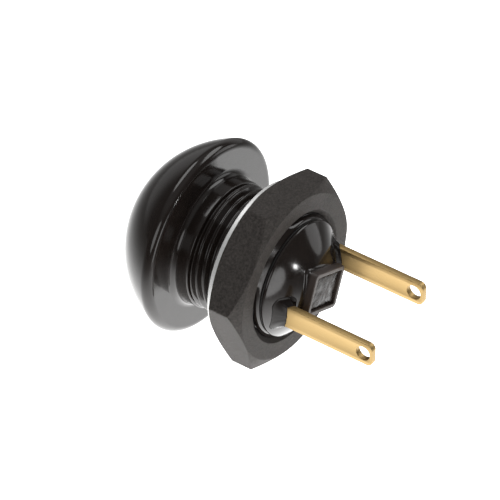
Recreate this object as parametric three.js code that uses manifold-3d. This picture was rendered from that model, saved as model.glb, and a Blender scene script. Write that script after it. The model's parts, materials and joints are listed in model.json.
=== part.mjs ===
// Panel-mount momentary push button with a domed head, a threaded barrel, a hex nut and two solder lugs.
//
// Frame: millimetres. The origin is the centre of the head's rear face, which lies on the front of the
// panel. +Y runs along the button's axis to the rear (lugs), -Y to the front (button), +Z is up.
import * as THREE from "three";
import { mergeVertices } from "three/addons/utils/BufferGeometryUtils.js";
import Module from "manifold-3d";

// ---- Driving dimensions (mm) ----------------------------------------------------------------------

const ROUND_SEGMENTS = 48;
const BUTTON_SEGMENTS = 36;
const SMALL_SEGMENTS = 20;
const RUNNING_GAP = 0.1; // between pieces that slide on or rest against each other
const CUTTER_OVERSHOOT = 1; // how far a cutter runs past the face that it opens

// 5/8-24 UNEF thread of the barrel.
const THREAD_MAJOR_RADIUS = 7.94;
const THREAD_ROOT_RADIUS = 7.29;
const THREAD_PITCH = 25.4 / 24;

// Head and barrel, moulded in one piece.
const HEAD_RADIUS = 12.4;
const HEAD_HEIGHT = 9.7;
const HEAD_RIM_ROUND = 0.7;
const NECK_RADIUS = 8.1;
const NECK_LENGTH = 2.3;
const NECK_FILLET = 0.4;
const BARREL_LENGTH = 12.2;
const BARREL_BORE_RADIUS = 6.5;
const BARREL_BORE_FRONT_Y = -3.2;
const BARREL_END_CHAMFER = 0.4;

// Button.
const BUTTON_RADIUS = 4.3;
const BUTTON_CLEARANCE = 0.3;
const BUTTON_HOLE_LIP = 0.25;
const BUTTON_APEX_Y = -10.05;
const BUTTON_EDGE_Y = -9.05;
const BUTTON_EDGE_ROUND = 0.35;
const BUTTON_FLANGE_RADIUS = 6.2;
const BUTTON_FLANGE_THICKNESS = 1.2;
const BUTTON_SPIGOT_RADIUS = 1.85;
const BUTTON_SPIGOT_LENGTH = 1.3;
const BUTTON_SOCKET_DEPTH = 4.7;
const SEAL_CENTRE_Y = -5.6;
const SEAL_SECTION_RADIUS = 0.55;
const SEAL_GROOVE_WIDTH = 1.4;
const SEAL_GROOVE_DEPTH = 0.95;

// Stem and what it carries.
const STEM_RADIUS = 0.9;
const STEM_REAR_Y = 8.3;
const STEM_TIP_CHAMFER = 0.25;
const STEM_CLEARANCE = 0.15;
const CLIP_FRONT_Y = 5.7;
const CLIP_THICKNESS = 0.4;
const CLIP_RADIUS = 2.1;
const CLIP_GROOVE_RADIUS = 0.6;
const CLIP_MOUTH_HALF_ANGLE = 32; // degrees
const RETURN_SEAT_RADIUS = 2.15;
const RETURN_SEAT_THICKNESS = 0.3;
const RETURN_SEAT_RIM = 0.35;

// Moving contacts.
const BRIDGE_FRONT_Y = 4.9;
const BRIDGE_THICKNESS = 0.7;
const BRIDGE_LENGTH = 10.4;
const BRIDGE_WIDTH = 3.0;
const CONTACT_RADIUS = 1.1;
const CONTACT_THICKNESS = 0.55;
const CONTACT_EDGE_WIDTH = 0.2;
const CONTACT_EDGE_DROP = 0.15;
const RIVET_SHANK_RADIUS = 0.5;
const CONTACT_OPENING = 1.6;
const CONTACT_REACH = 3.9; // from the axis to each contact, along X
const CONTACT_SEAT_RADIUS = 3.0;
const CONTACT_SEAT_THICKNESS = 0.6;
const CONTACT_SEAT_RIM = 0.5;

// Springs.
const CONTACT_SPRING = { meanRadius: 2.2, wireRadius: 0.2, turns: 6 };
const RETURN_SPRING = { meanRadius: 1.6, wireRadius: 0.22, turns: 5.5 };
const SPRING_STEPS_PER_TURN = 14;
const SPRING_WIRE_SIDES = 6;

// Solder lugs.
const LUG_THICKNESS = 0.8;
const LUG_WIDTH = 3.1;
const LUG_X = 5.19; // middle of the blade's thickness
const LUG_Z = 1.0; // the right lug lies this far below the axis, the left one as far above
const LUG_TIP_Y = 26.9;
const LUG_TIP_ROUND = 0.75;
const LUG_HOLE_RADIUS = 0.94;
const LUG_HOLE_Y = 25.6;
const LUG_SHANK_WIDTH = 2.2;
const LUG_SHOULDER_Y = 13.7;
const LUG_FOOT_INNER_X = 2.75;

// Rear cap, gasket and resin beads.
const PLUG_RADIUS = 6.4;
const PLUG_FRONT_Y = 9.2;
const CAP_RADIUS = 7.4;
const CAP_EDGE_Y = 12.5;
const CAP_TOP_Y = 14.75;
const SPRING_POCKET_RADIUS = 2.3;
const SPRING_POCKET_END_Y = 12.95;
const GASKET_OUTER_RADIUS = 7.3;
const GASKET_GAP = 0.02;
const LUG_SLOT_MARGIN = 0.15;
const BOSS_LENGTH = 6.3;
const BOSS_WIDTH = 5.5;
const BOSS_TURN = 21.7; // degrees from +X towards +Z
const BOSS_END_Y = 16.6;
const BOSS_CORNER = 0.6;
const BOSS_ROOT_DEPTH = 0.5; // how deep the block starts inside the cap
const BOSS_WALL = 0.55;
const PORT_FLOOR_Y = 15.6;
const PORT_SEAL_END_Y = 16.4;
const PORT_MIN_CORNER = 0.2;
const WELL_FLOOR_Y = 14.0;
const WELL_HALF_WIDTH = 1.0;
const WELL_HALF_HEIGHT = 2.2;
const BEAD_MARGIN = 0.08;
const BEAD_SIDE_Y = 14.45;
const BEAD_TOP_Y = 15.15;

// Washer and nut.
const WASHER_INNER_RADIUS = 8.3;
const WASHER_OUTER_RADIUS = 10.2;
const WASHER_FRONT_Y = 6.75;
const WASHER_THICKNESS = 0.65;
const NUT_FRONT_Y = 7.5;
const NUT_REAR_Y = 12.13;
const NUT_CORNER_RADIUS = 12.33;
const NUT_CORNER_ANGLE = 8.1; // degrees from +X towards +Z
const NUT_BORE_RADIUS = 8.05;
const NUT_BORE_MOUTH_RADIUS = 8.5;
const NUT_FACE_RADIUS = 10.6;
const NUT_CHAMFER_SLOPE = 30; // degrees from the face

// ---- Materials ------------------------------------------------------------------------------------

function material(color, roughness, metalness) {
  return new THREE.MeshStandardMaterial({ color, roughness, metalness });
}

const glossyBlack = () => material(0x1b1918, 0.12, 0);
const satinBlack = () => material(0x2b2a29, 0.6, 0);
const buttonBlack = () => material(0x1f1d1c, 0.3, 0);
const resinBlack = () => material(0x191615, 0.18, 0);
const sealRubber = () => material(0x242322, 0.75, 0);
const insulator = () => material(0x8b5a34, 0.65, 0);
const goldPlate = () => material(0xc9a063, 0.28, 1);
const springSteel = () => material(0xb9bcc0, 0.3, 1);
const brightZinc = () => material(0xe8e9ea, 0.22, 1);
const brass = () => material(0xb8934a, 0.35, 1);
const silver = () => material(0xd5d3cc, 0.3, 1);

// ---- Solids ---------------------------------------------------------------------------------------

const wasm = await Module();
wasm.setup();

const degrees = THREE.MathUtils.degToRad;

// A closed geometry as a solid that can be joined and cut.
function solidOf(geometry) {
  const bare = geometry.clone();
  bare.deleteAttribute("normal");
  bare.deleteAttribute("uv");
  const merged = mergeVertices(bare, 1e-4);
  return new wasm.Manifold(
    new wasm.Mesh({
      numProp: 3,
      vertProperties: merged.attributes.position.array,
      triVerts: new Uint32Array(merged.index.array),
    }),
  );
}

function geometryOf(solid) {
  const mesh = solid.getMesh();
  const geometry = new THREE.BufferGeometry();
  geometry.setAttribute("position", new THREE.BufferAttribute(mesh.vertProperties, 3));
  geometry.setIndex(new THREE.BufferAttribute(mesh.triVerts, 1));
  const faceted = geometry.toNonIndexed();
  faceted.computeVertexNormals();
  return faceted;
}

// A blank with every cutter taken away.
function cut(blank, ...cutters) {
  return geometryOf(cutters.reduce((solid, cutter) => solid.subtract(solidOf(cutter)), solidOf(blank)));
}

function join(...parts) {
  return geometryOf(parts.map(solidOf).reduce((whole, part) => whole.add(part)));
}

// The outline [radius, y], ..., turned about the Y axis. It may be given either way round.
function revolve(outline, segments = ROUND_SEGMENTS) {
  const points = outline.map(([radius, y]) => new THREE.Vector2(Math.max(radius, 0), y));
  if (THREE.ShapeUtils.isClockWise(points)) points.reverse();
  const start = Math.max(0, points.findIndex((p, i) => p.x === 0 && points.at(i - 1).x === 0));
  const outlineLoop = [...points.slice(start), ...points.slice(0, start)];
  if (outlineLoop[0].x > 0) outlineLoop.push(outlineLoop[0].clone());
  return new THREE.LatheGeometry(outlineLoop, segments);
}

// A ring of rectangular section.
function ring(innerRadius, outerRadius, yFrom, yTo) {
  return revolve([
    [innerRadius, yFrom],
    [outerRadius, yFrom],
    [outerRadius, yTo],
    [innerRadius, yTo],
  ]);
}

function rod(radius, yFrom, yTo) {
  return revolve([[0, yFrom], [radius, yFrom], [radius, yTo], [0, yTo]], SMALL_SEGMENTS);
}

// Points of an arc in the outline plane, angles in degrees from the radial direction towards +Y.
function arc(centreRadius, centreY, radius, fromAngle, toAngle, steps) {
  return Array.from({ length: steps + 1 }, (_, i) => {
    const angle = degrees(fromAngle + ((toAngle - fromAngle) * i) / steps);
    return [centreRadius + radius * Math.cos(angle), centreY + radius * Math.sin(angle)];
  });
}

// A flat outline given a thickness along one axis. Along X it is drawn in (Y, Z), along Y in (Z, X).
function extrudeAlong(axis, outline, from, to) {
  const geometry = new THREE.ExtrudeGeometry(outline, {
    depth: to - from,
    bevelEnabled: false,
    curveSegments: 8,
  });
  const x = new THREE.Vector3(1, 0, 0);
  const y = new THREE.Vector3(0, 1, 0);
  const z = new THREE.Vector3(0, 0, 1);
  const turned = new THREE.Matrix4();
  if (axis === "x") turned.makeBasis(y, z, x);
  if (axis === "y") turned.makeBasis(z, x, y);
  const along = { x, y, z }[axis];
  return geometry.applyMatrix4(turned).translate(along.x * from, along.y * from, along.z * from);
}

function roundedRectangle(xFrom, xTo, yFrom, yTo, corner) {
  const shape = new THREE.Shape();
  shape.moveTo(xFrom + corner, yFrom);
  shape.lineTo(xTo - corner, yFrom);
  shape.absarc(xTo - corner, yFrom + corner, corner, -Math.PI / 2, 0, false);
  shape.lineTo(xTo, yTo - corner);
  shape.absarc(xTo - corner, yTo - corner, corner, 0, Math.PI / 2, false);
  shape.lineTo(xFrom + corner, yTo);
  shape.absarc(xFrom + corner, yTo - corner, corner, Math.PI / 2, Math.PI, false);
  shape.lineTo(xFrom, yFrom + corner);
  shape.absarc(xFrom + corner, yFrom + corner, corner, Math.PI, 1.5 * Math.PI, false);
  return shape;
}

function box(xFrom, xTo, yFrom, yTo, zFrom, zTo) {
  return new THREE.BoxGeometry(xTo - xFrom, yTo - yFrom, zTo - zFrom).translate(
    (xFrom + xTo) / 2,
    (yFrom + yTo) / 2,
    (zFrom + zTo) / 2,
  );
}

class Helix extends THREE.Curve {
  constructor(radius, turns, yFrom, yTo) {
    super();
    Object.assign(this, { radius, turns, yFrom, yTo });
  }

  getPoint(t, target = new THREE.Vector3()) {
    const angle = 2 * Math.PI * this.turns * t;
    return target.set(
      this.radius * Math.cos(angle),
      this.yFrom + (this.yTo - this.yFrom) * t,
      this.radius * Math.sin(angle),
    );
  }
}

// A coil spring whose wire just stays between the two seats.
function coilSpring({ meanRadius, wireRadius, turns }, frontSeatY, rearSeatY) {
  const inset = wireRadius + RUNNING_GAP / 2;
  const path = new Helix(meanRadius, turns, frontSeatY + inset, rearSeatY - inset);
  const wire = new THREE.Shape();
  for (let side = 0; side < SPRING_WIRE_SIDES; side++) {
    const angle = (2 * Math.PI * side) / SPRING_WIRE_SIDES;
    const place = [wireRadius * Math.cos(angle), wireRadius * Math.sin(angle)];
    if (side === 0) wire.moveTo(...place);
    else wire.lineTo(...place);
  }
  wire.closePath();
  return new THREE.ExtrudeGeometry(wire, {
    steps: Math.round(turns * SPRING_STEPS_PER_TURN),
    extrudePath: path,
    bevelEnabled: false,
  });
}

// ---- Pieces ---------------------------------------------------------------------------------------

const root = new THREE.Group();

function add(name, geometry, finish, parent = root) {
  const mesh = new THREE.Mesh(geometry, finish);
  mesh.name = name;
  parent.add(mesh);
  return mesh;
}

const buttonBoreRadius = BUTTON_RADIUS + BUTTON_CLEARANCE;
const flangeFrontY = BARREL_BORE_FRONT_Y + RUNNING_GAP;
const flangeRearY = flangeFrontY + BUTTON_FLANGE_THICKNESS;
const spigotRearY = flangeRearY + BUTTON_SPIGOT_LENGTH;
const bridgeRearY = BRIDGE_FRONT_Y + BRIDGE_THICKNESS;
const contactSeatRearY = BRIDGE_FRONT_Y - RUNNING_GAP;
const contactSeatFrontY = contactSeatRearY - CONTACT_SEAT_THICKNESS;
const movingFaceY = bridgeRearY + RUNNING_GAP / 2 + CONTACT_THICKNESS;
const fixedFaceY = movingFaceY + CONTACT_OPENING;
const footFrontY = PLUG_FRONT_Y - LUG_THICKNESS - GASKET_GAP;
const footRearY = PLUG_FRONT_Y - GASKET_GAP;
const returnSeatFrontY = CLIP_FRONT_Y + CLIP_THICKNESS + RUNNING_GAP;
const returnSeatRearY = returnSeatFrontY + RETURN_SEAT_THICKNESS;
const bridgeTurn = Math.asin(LUG_Z / CONTACT_REACH);

// The dome is a sphere that runs into the rim's rounding without a break.
const rimCentreRadius = HEAD_RADIUS - HEAD_RIM_ROUND;
const domeRadius =
  (rimCentreRadius ** 2 + (HEAD_HEIGHT - HEAD_RIM_ROUND) ** 2 - HEAD_RIM_ROUND ** 2) /
  (2 * (HEAD_HEIGHT - 2 * HEAD_RIM_ROUND));
const domeCentreY = domeRadius - HEAD_HEIGHT;

function domeY(radius) {
  return domeCentreY - Math.sqrt(domeRadius ** 2 - radius ** 2);
}

// Crests and roots of the thread as rings, one pitch apart.
function threadOutline(yFrom, yTo) {
  const outline = [];
  const turns = Math.floor((yTo - yFrom) / THREAD_PITCH);
  for (let turn = 0; turn < turns; turn++) {
    const rootY = yFrom + turn * THREAD_PITCH;
    outline.push([THREAD_ROOT_RADIUS, rootY]);
    outline.push([THREAD_MAJOR_RADIUS, rootY + THREAD_PITCH / 2]);
  }
  outline.push([THREAD_ROOT_RADIUS, yFrom + turns * THREAD_PITCH]);
  return outline;
}

function bezelBushing() {
  const domeStartAngle = -THREE.MathUtils.radToDeg(
    Math.acos((buttonBoreRadius + BUTTON_HOLE_LIP) / domeRadius),
  );
  const rimStartAngle = -THREE.MathUtils.radToDeg(
    Math.asin((domeCentreY + HEAD_RIM_ROUND) / (domeRadius - HEAD_RIM_ROUND)),
  );
  const grooveFrontY = SEAL_CENTRE_Y - SEAL_GROOVE_WIDTH / 2;
  const grooveRearY = SEAL_CENTRE_Y + SEAL_GROOVE_WIDTH / 2;
  const grooveRadius = buttonBoreRadius + SEAL_GROOVE_DEPTH;
  const threadFrontY = NECK_LENGTH + THREAD_PITCH / 2;
  const threadRearY = BARREL_LENGTH - BARREL_END_CHAMFER;
  return revolve([
    [buttonBoreRadius, domeY(buttonBoreRadius) + BUTTON_HOLE_LIP],
    ...arc(0, domeCentreY, domeRadius, domeStartAngle, rimStartAngle, 12),
    ...arc(rimCentreRadius, -HEAD_RIM_ROUND, HEAD_RIM_ROUND, rimStartAngle, 90, 5).slice(1),
    [NECK_RADIUS + NECK_FILLET, 0],
    [NECK_RADIUS, NECK_FILLET],
    [NECK_RADIUS, NECK_LENGTH],
    ...threadOutline(threadFrontY, threadRearY),
    [THREAD_ROOT_RADIUS, BARREL_LENGTH],
    [BARREL_BORE_RADIUS, BARREL_LENGTH],
    [BARREL_BORE_RADIUS, BARREL_BORE_FRONT_Y],
    [buttonBoreRadius, BARREL_BORE_FRONT_Y],
    [buttonBoreRadius, grooveRearY],
    [grooveRadius, grooveRearY],
    [grooveRadius, grooveFrontY],
    [buttonBoreRadius, grooveFrontY],
  ]);
}

function pushButton() {
  const crownHeight = BUTTON_EDGE_Y - BUTTON_APEX_Y;
  const crownReach = BUTTON_RADIUS - BUTTON_EDGE_ROUND;
  const crownRadius = (crownReach ** 2 + crownHeight ** 2) / (2 * crownHeight);
  const crownEndAngle = -THREE.MathUtils.radToDeg(Math.acos(crownReach / crownRadius));
  const socketRadius = STEM_RADIUS + RUNNING_GAP;
  return revolve([
    [0, BUTTON_APEX_Y],
    ...arc(0, BUTTON_APEX_Y + crownRadius, crownRadius, -90, crownEndAngle, 6).slice(1),
    [BUTTON_RADIUS, BUTTON_EDGE_Y + BUTTON_EDGE_ROUND],
    [BUTTON_RADIUS, flangeFrontY],
    [BUTTON_FLANGE_RADIUS, flangeFrontY],
    [BUTTON_FLANGE_RADIUS, flangeRearY],
    [BUTTON_SPIGOT_RADIUS, flangeRearY],
    [BUTTON_SPIGOT_RADIUS, spigotRearY],
    [socketRadius, spigotRearY],
    [socketRadius, spigotRearY - BUTTON_SOCKET_DEPTH],
    [0, spigotRearY - BUTTON_SOCKET_DEPTH],
  ], BUTTON_SEGMENTS);
}

function buttonSeal() {
  const meanRadius = BUTTON_RADIUS + RUNNING_GAP / 2 + SEAL_SECTION_RADIUS;
  return revolve(arc(meanRadius, SEAL_CENTRE_Y, SEAL_SECTION_RADIUS, 0, 330, 11), BUTTON_SEGMENTS);
}

function plungerStem() {
  const frontY = spigotRearY - BUTTON_SOCKET_DEPTH + RUNNING_GAP;
  const grooveFrontY = CLIP_FRONT_Y - RUNNING_GAP / 2;
  const grooveRearY = CLIP_FRONT_Y + CLIP_THICKNESS + RUNNING_GAP / 2;
  return revolve([
    [0, frontY],
    [STEM_RADIUS, frontY],
    [STEM_RADIUS, grooveFrontY],
    [CLIP_GROOVE_RADIUS, grooveFrontY],
    [CLIP_GROOVE_RADIUS, grooveRearY],
    [STEM_RADIUS, grooveRearY],
    [STEM_RADIUS, STEM_REAR_Y - STEM_TIP_CHAMFER],
    [STEM_RADIUS - STEM_TIP_CHAMFER, STEM_REAR_Y],
    [0, STEM_REAR_Y],
  ], SMALL_SEGMENTS);
}

function contactSpringSeat() {
  const boreRadius = STEM_RADIUS + STEM_CLEARANCE;
  const lipRadius = CONTACT_SPRING.meanRadius - CONTACT_SPRING.wireRadius - RUNNING_GAP;
  return revolve([
    [boreRadius, contactSeatRearY],
    [CONTACT_SEAT_RADIUS, contactSeatRearY],
    [CONTACT_SEAT_RADIUS, contactSeatFrontY],
    [lipRadius, contactSeatFrontY],
    [lipRadius, contactSeatFrontY - CONTACT_SEAT_RIM],
    [boreRadius, contactSeatFrontY - CONTACT_SEAT_RIM],
  ], SMALL_SEGMENTS);
}

// A bar with rounded ends, a hole for the stem and one for each contact's shank. Drawn in (Z, X).
function contactBridge() {
  const outline = roundedRectangle(
    -BRIDGE_WIDTH / 2, BRIDGE_WIDTH / 2, -BRIDGE_LENGTH / 2, BRIDGE_LENGTH / 2, BRIDGE_WIDTH / 4,
  );
  const hole = (reach, radius) => {
    const path = new THREE.Path();
    path.absarc(0, reach, radius, 0, 2 * Math.PI, false);
    return path;
  };
  const shankHole = RIVET_SHANK_RADIUS + RUNNING_GAP;
  outline.holes.push(
    hole(0, STEM_RADIUS + STEM_CLEARANCE),
    hole(CONTACT_REACH, shankHole),
    hole(-CONTACT_REACH, shankHole),
  );
  return extrudeAlong("y", outline, BRIDGE_FRONT_Y, bridgeRearY);
}

// A rivet with its contact face at faceY and its shank's end at shankEndY, on the Y axis.
function contactRivet(faceY, shankEndY) {
  const away = Math.sign(shankEndY - faceY);
  const headBackY = faceY + away * CONTACT_THICKNESS;
  return revolve([
    [0, faceY],
    [CONTACT_RADIUS - CONTACT_EDGE_WIDTH, faceY],
    [CONTACT_RADIUS, faceY + away * CONTACT_EDGE_DROP],
    [CONTACT_RADIUS, headBackY],
    [RIVET_SHANK_RADIUS, headBackY],
    [RIVET_SHANK_RADIUS, shankEndY],
    [0, shankEndY],
  ], SMALL_SEGMENTS);
}

// An open ring, its mouth towards -X.
function retainingClip() {
  const mouth = degrees(CLIP_MOUTH_HALF_ANGLE);
  const innerRadius = CLIP_GROOVE_RADIUS + RUNNING_GAP / 2;
  const outline = new THREE.Shape();
  const start = -Math.PI / 2 + mouth;
  const end = 1.5 * Math.PI - mouth;
  outline.absarc(0, 0, CLIP_RADIUS, start, end, false);
  outline.absarc(0, 0, innerRadius, end, start, true);
  outline.closePath();
  return extrudeAlong("y", outline, CLIP_FRONT_Y, CLIP_FRONT_Y + CLIP_THICKNESS);
}

function returnSpringSeat() {
  const boreRadius = STEM_RADIUS + RUNNING_GAP;
  const lipRadius = RETURN_SPRING.meanRadius - RETURN_SPRING.wireRadius - RUNNING_GAP;
  return revolve([
    [boreRadius, returnSeatFrontY],
    [RETURN_SEAT_RADIUS, returnSeatFrontY],
    [RETURN_SEAT_RADIUS, returnSeatRearY],
    [lipRadius, returnSeatRearY],
    [lipRadius, returnSeatRearY + RETURN_SEAT_RIM],
    [boreRadius, returnSeatRearY + RETURN_SEAT_RIM],
  ], SMALL_SEGMENTS);
}

// A lug on the +X side: flat blade, narrower shank in the cap and a foot bent inwards on its front face.
function solderLug() {
  const innerX = LUG_X - LUG_THICKNESS / 2;
  const outerX = LUG_X + LUG_THICKNESS / 2;
  const blade = new THREE.Shape();
  const half = LUG_WIDTH / 2;
  blade.moveTo(LUG_SHOULDER_Y, -half);
  blade.lineTo(LUG_TIP_Y - LUG_TIP_ROUND, -half);
  blade.absarc(LUG_TIP_Y - LUG_TIP_ROUND, LUG_TIP_ROUND - half, LUG_TIP_ROUND, -Math.PI / 2, 0, false);
  blade.absarc(LUG_TIP_Y - LUG_TIP_ROUND, half - LUG_TIP_ROUND, LUG_TIP_ROUND, 0, Math.PI / 2, false);
  blade.lineTo(LUG_SHOULDER_Y, half);
  const eye = new THREE.Path();
  eye.absarc(LUG_HOLE_Y, 0, LUG_HOLE_RADIUS, 0, 2 * Math.PI, false);
  blade.holes.push(eye);
  const shankHalf = LUG_SHANK_WIDTH / 2;
  const shankEndY = LUG_SHOULDER_Y + CUTTER_OVERSHOOT;
  const shank = box(innerX, outerX, footFrontY, shankEndY, -shankHalf, shankHalf);
  const foot = box(LUG_FOOT_INNER_X, outerX, footFrontY, footRearY, -shankHalf, shankHalf);
  const rivetHole = rod(
    RIVET_SHANK_RADIUS + RUNNING_GAP, footFrontY - CUTTER_OVERSHOOT, footRearY + CUTTER_OVERSHOOT,
  );
  rivetHole.translate(CONTACT_REACH * Math.cos(bridgeTurn), 0, 0);
  return cut(join(extrudeAlong("x", blade, innerX, outerX), shank, foot), rivetHole);
}

function lugSlots(side) {
  const x = side * LUG_X;
  const z = -side * LUG_Z;
  const halfThickness = LUG_THICKNESS / 2 + LUG_SLOT_MARGIN;
  const halfShank = LUG_SHANK_WIDTH / 2 + LUG_SLOT_MARGIN;
  const halfBlade = LUG_WIDTH / 2 + LUG_SLOT_MARGIN;
  const shoulderY = LUG_SHOULDER_Y - LUG_SLOT_MARGIN;
  const slotFrontY = PLUG_FRONT_Y - CUTTER_OVERSHOOT;
  const well = rod(1, WELL_FLOOR_Y, CAP_TOP_Y + CUTTER_OVERSHOOT);
  well.scale(WELL_HALF_WIDTH, 1, WELL_HALF_HEIGHT);
  return [
    box(x - halfThickness, x + halfThickness, slotFrontY, CAP_TOP_Y, z - halfShank, z + halfShank),
    box(x - halfThickness, x + halfThickness, shoulderY, CAP_TOP_Y, z - halfBlade, z + halfBlade),
    well.translate(x, 0, z),
  ];
}

// A block with rounded corners on the cap's axis, smaller than the boss by an inset all round.
function bossBlock(inset, yFrom, yTo) {
  const halfLength = BOSS_LENGTH / 2 - inset;
  const halfWidth = BOSS_WIDTH / 2 - inset;
  const corner = Math.max(BOSS_CORNER - inset, PORT_MIN_CORNER);
  const outline = roundedRectangle(-halfWidth, halfWidth, -halfLength, halfLength, corner);
  return extrudeAlong("y", outline, yFrom, yTo).rotateY(-degrees(BOSS_TURN));
}

// Plug in the barrel, rounded cap behind it, and the turned block with the filling port.
function rearBase() {
  const shoulder = CAP_TOP_Y - CAP_EDGE_Y;
  const shoulderCentre = CAP_RADIUS - shoulder;
  const body = revolve([
    [0, SPRING_POCKET_END_Y],
    [SPRING_POCKET_RADIUS, SPRING_POCKET_END_Y],
    [SPRING_POCKET_RADIUS, PLUG_FRONT_Y],
    [PLUG_RADIUS, PLUG_FRONT_Y],
    [PLUG_RADIUS, CAP_EDGE_Y],
    ...arc(shoulderCentre, CAP_EDGE_Y, shoulder, 0, 90, 6),
    [0, CAP_TOP_Y],
  ]);
  const boss = bossBlock(0, CAP_TOP_Y - BOSS_ROOT_DEPTH, BOSS_END_Y);
  const port = bossBlock(BOSS_WALL, PORT_FLOOR_Y, BOSS_END_Y + CUTTER_OVERSHOOT);
  return cut(join(body, boss), port, ...lugSlots(1), ...lugSlots(-1));
}

// A bead of resin around a lug's root, on the Y axis, with the slot that the lug fills.
function terminalSeal() {
  const bottomY = WELL_FLOOR_Y + RUNNING_GAP / 2;
  const bead = revolve([
    [0, bottomY],
    [1, bottomY],
    ...Array.from({ length: 6 }, (_, i) => {
      const angle = degrees(i * 15);
      return [Math.cos(angle), BEAD_SIDE_Y + (BEAD_TOP_Y - BEAD_SIDE_Y) * Math.sin(angle)];
    }),
    [0, BEAD_TOP_Y],
  ], SMALL_SEGMENTS);
  bead.scale(WELL_HALF_WIDTH - BEAD_MARGIN, 1, WELL_HALF_HEIGHT - BEAD_MARGIN);
  const halfThickness = LUG_THICKNESS / 2 + BEAD_MARGIN;
  const halfWidth = LUG_WIDTH / 2 + BEAD_MARGIN;
  const slotFrontY = bottomY - CUTTER_OVERSHOOT;
  const slotRearY = BEAD_TOP_Y + CUTTER_OVERSHOOT;
  return cut(bead, box(-halfThickness, halfThickness, slotFrontY, slotRearY, -halfWidth, halfWidth));
}

// Hexagon with both faces chamfered by a cone, and a bore with chamfered mouths. Drawn in (Z, X).
function hexNut() {
  const hexagon = new THREE.Shape();
  for (let corner = 0; corner < 6; corner++) {
    const angle = degrees(60 * corner + NUT_CORNER_ANGLE);
    const place = [NUT_CORNER_RADIUS * Math.sin(angle), NUT_CORNER_RADIUS * Math.cos(angle)];
    if (corner === 0) hexagon.moveTo(...place);
    else hexagon.lineTo(...place);
  }
  hexagon.closePath();
  const blank = solidOf(extrudeAlong("y", hexagon, NUT_FRONT_Y, NUT_REAR_Y));
  const envelopeRadius = NUT_CORNER_RADIUS + CUTTER_OVERSHOOT;
  const drop = (envelopeRadius - NUT_FACE_RADIUS) * Math.tan(degrees(NUT_CHAMFER_SLOPE));
  const mouth = NUT_BORE_MOUTH_RADIUS - NUT_BORE_RADIUS;
  const envelope = revolve([
    [NUT_BORE_MOUTH_RADIUS, NUT_FRONT_Y],
    [NUT_FACE_RADIUS, NUT_FRONT_Y],
    [envelopeRadius, NUT_FRONT_Y + drop],
    [envelopeRadius, NUT_REAR_Y - drop],
    [NUT_FACE_RADIUS, NUT_REAR_Y],
    [NUT_BORE_MOUTH_RADIUS, NUT_REAR_Y],
    [NUT_BORE_RADIUS, NUT_REAR_Y - mouth],
    [NUT_BORE_RADIUS, NUT_FRONT_Y + mouth],
  ]);
  return geometryOf(blank.intersect(solidOf(envelope)));
}

// ---- Assembly -------------------------------------------------------------------------------------

add("bezel_bushing", bezelBushing(), glossyBlack());
add("push_button", pushButton(), buttonBlack());
add("button_seal", buttonSeal(), sealRubber());
add("plunger_stem", plungerStem(), springSteel());
add("contact_spring", coilSpring(CONTACT_SPRING, flangeRearY, contactSeatFrontY), springSteel());
add("contact_spring_seat", contactSpringSeat(), insulator());
add("retaining_clip", retainingClip(), springSteel());
add("return_spring_seat", returnSpringSeat(), brass());
add("return_spring", coilSpring(RETURN_SPRING, returnSeatRearY, SPRING_POCKET_END_Y), springSteel());
add("rear_base", rearBase(), glossyBlack());
add("port_seal", bossBlock(
  BOSS_WALL + BEAD_MARGIN, PORT_FLOOR_Y + RUNNING_GAP / 2, PORT_SEAL_END_Y,
), resinBlack());
add("base_gasket", ring(
  BARREL_BORE_RADIUS, GASKET_OUTER_RADIUS, BARREL_LENGTH + GASKET_GAP, CAP_EDGE_Y - GASKET_GAP,
), sealRubber());
add("panel_washer", ring(
  WASHER_INNER_RADIUS, WASHER_OUTER_RADIUS, WASHER_FRONT_Y, WASHER_FRONT_Y + WASHER_THICKNESS,
), brightZinc());
add("hex_nut", hexNut(), satinBlack());

const bridge = new THREE.Group();
bridge.rotation.y = bridgeTurn;
root.add(bridge);
add("contact_bridge", contactBridge(), brass(), bridge);

for (const [side, hand] of [[1, "right"], [-1, "left"]]) {
  const moving = add(
    `moving_contact_${hand}`,
    contactRivet(movingFaceY, BRIDGE_FRONT_Y + RUNNING_GAP),
    silver(),
    bridge,
  );
  moving.position.x = side * CONTACT_REACH;

  const contactX = CONTACT_REACH * Math.cos(bridgeTurn);
  const fixed = add(`fixed_contact_${hand}`, contactRivet(fixedFaceY, footRearY), silver());
  fixed.position.set(side * contactX, 0, -side * LUG_Z);

  // The left lug is the right one turned half round the axis.
  const lug = add(`terminal_${hand}`, solderLug(), goldPlate());
  lug.position.z = -side * LUG_Z;
  lug.rotation.y = side === 1 ? 0 : Math.PI;

  const seal = add(`terminal_seal_${hand}`, terminalSeal(), resinBlack());
  seal.position.set(side * LUG_X, 0, -side * LUG_Z);
}

export default root;
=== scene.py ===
"""Finished pieces of a panel-mount push button, built around its CAD frame.

Units are metres. +Y runs along the button's axis to the rear, where the solder lugs are, and +Z is up.
"""

import json
import math

import bmesh
import bpy
from bpy.props import FloatProperty, FloatVectorProperty, PointerProperty
from bpy.types import Operator, Panel, PropertyGroup
from mathutils import Matrix, Vector, geometry, noise


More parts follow.
